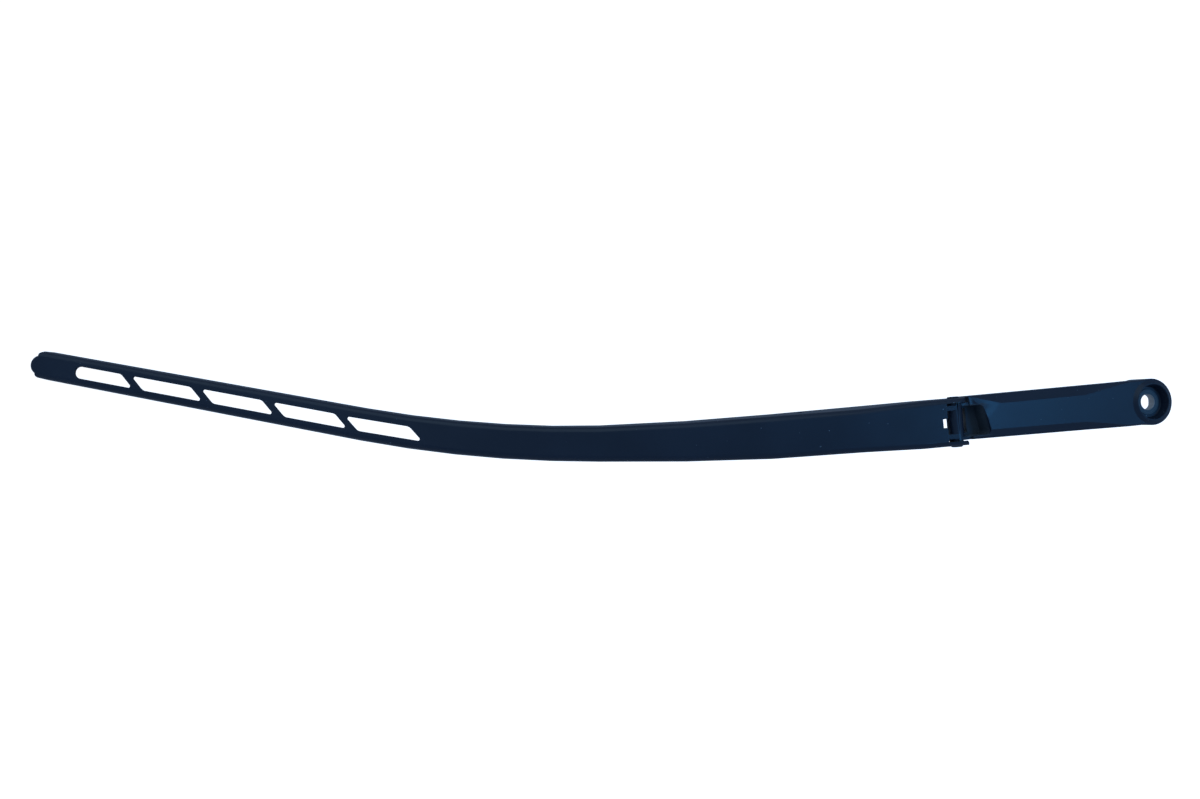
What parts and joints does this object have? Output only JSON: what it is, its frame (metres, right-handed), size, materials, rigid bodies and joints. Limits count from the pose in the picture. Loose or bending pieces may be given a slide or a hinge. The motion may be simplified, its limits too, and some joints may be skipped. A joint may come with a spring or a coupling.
{
  "type": "wiper arm",
  "caption": "Windscreen wiper arm: cast head with spindle bore and nut recess, spring-loaded hinge, and a curved sheet channel with slanted windows.",
  "frame": {"origin": "on the spindle axis at the nut seat, the flat ring at the bottom of the nut recess", "axes": "+Z along the spindle axis, up out of the nut recess; the head and the arm run towards -X; +Y is the side that the arm bends towards; the hinge axis is parallel to Y"},
  "size_m": [0.6457, 0.1024, 0.1528],
  "materials": {
    "head_coat": "satin black coat on a casting",
    "arm_coat": "satin black coat on pressed sheet",
    "pin_coat": "satin black coat over a rivet",
    "bush_metal": "sintered, oiled",
    "wire_steel": "phosphated wire",
    "pin_steel": "plain"
  },
  "bodies": {
    "head": {"arm_head": "head_coat", "hinge_bush_left": "bush_metal", "hinge_bush_right": "bush_metal", "spring_pin": "pin_steel"},
    "arm": {"arm_channel": "arm_coat", "hinge_pin": "pin_coat", "anchor_pin": "pin_steel"},
    "yoke": {"spring_yoke": "wire_steel"},
    "spring": {"tension_spring": "wire_steel"}
  },
  "joints": [
    {"name": "arm_lift", "type": "hinge", "parent": "head", "child": "arm", "pos_m": [-0.123, 0, -0.0033], "axis": [0, 1, 0], "range_deg": [0, 80], "deforming": ["tension_spring"]},
    {"name": "yoke_swing", "type": "hinge", "parent": "head", "child": "yoke", "pos_m": [-0.11823, 0, -0.01108], "axis": [0, 1, 0], "range_deg": [0, 74]},
    {"name": "spring_stretch", "type": "slide", "parent": "yoke", "child": "spring", "axis": [-0.9853, 0, -0.1711], "range_m": [0, 0.0063]}
  ],
  "couplings": [
    {"joint": "yoke_swing", "follows": "arm_lift", "ratio": 0.92059},
    {"joint": "spring_stretch", "follows": "arm_lift", "m_per_rad": 0.0043996}
  ]
}
